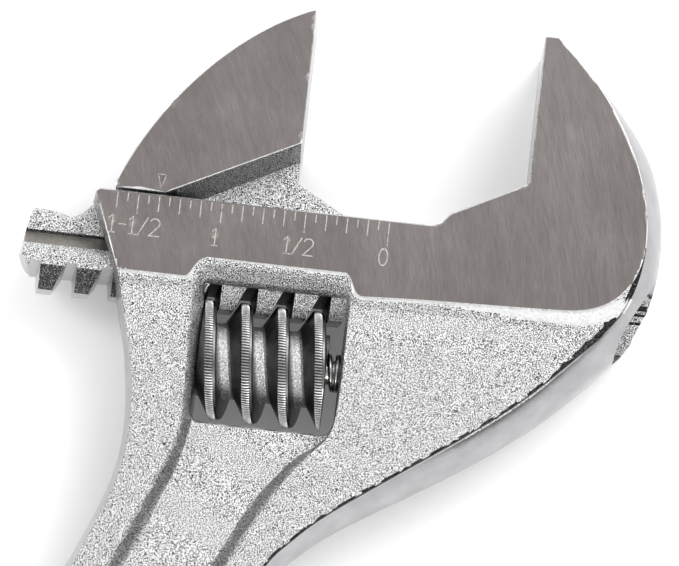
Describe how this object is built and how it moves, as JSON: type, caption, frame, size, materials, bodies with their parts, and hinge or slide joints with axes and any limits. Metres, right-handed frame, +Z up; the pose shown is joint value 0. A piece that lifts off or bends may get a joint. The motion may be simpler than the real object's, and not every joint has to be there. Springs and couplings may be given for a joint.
{
  "type": "adjustable wrench",
  "caption": "Adjustable wrench with an angled open head; a knurled worm moves the rack-toothed jaw along a round rail.",
  "frame": {"origin": "centre of the wrench's bounding box, on the surface that it lies flat on", "axes": "+X along the handle from the hanging hole towards the head, +Z up through the flat head, +Y to the side that the movable jaw is on"},
  "size_m": [0.31, 0.0882, 0.019],
  "materials": {
    "forged_chrome": "satin chrome with a fine grain, polished on the sides, ground on the head's faces",
    "ground_steel": "ground flat with fine curved scratches",
    "worm_steel": "plated, knurled on the crests",
    "pin_steel": "turned",
    "spring_steel": "drawn wire"
  },
  "bodies": {
    "handle": {"body": "forged_chrome", "worm_pin": "pin_steel", "worm_spring": "spring_steel"},
    "jaw": {"movable_jaw": "ground_steel"},
    "knurl": {"worm": "worm_steel"}
  },
  "joints": [
    {"name": "jaw_slide", "type": "slide", "parent": "handle", "child": "jaw", "axis": [0.4226, -0.9063, 0], "range_m": [-0.00317, 0.03488]},
    {"name": "worm_spin", "type": "hinge", "parent": "handle", "child": "knurl", "pos_m": [0.08972, 0.00087, 0.0095], "axis": [0.4226, -0.9063, 0], "range_deg": [-2270, 210]}
  ],
  "couplings": [
    {"joint": "worm_spin", "follows": "jaw_slide", "rad_per_m": -1132.1}
  ]
}
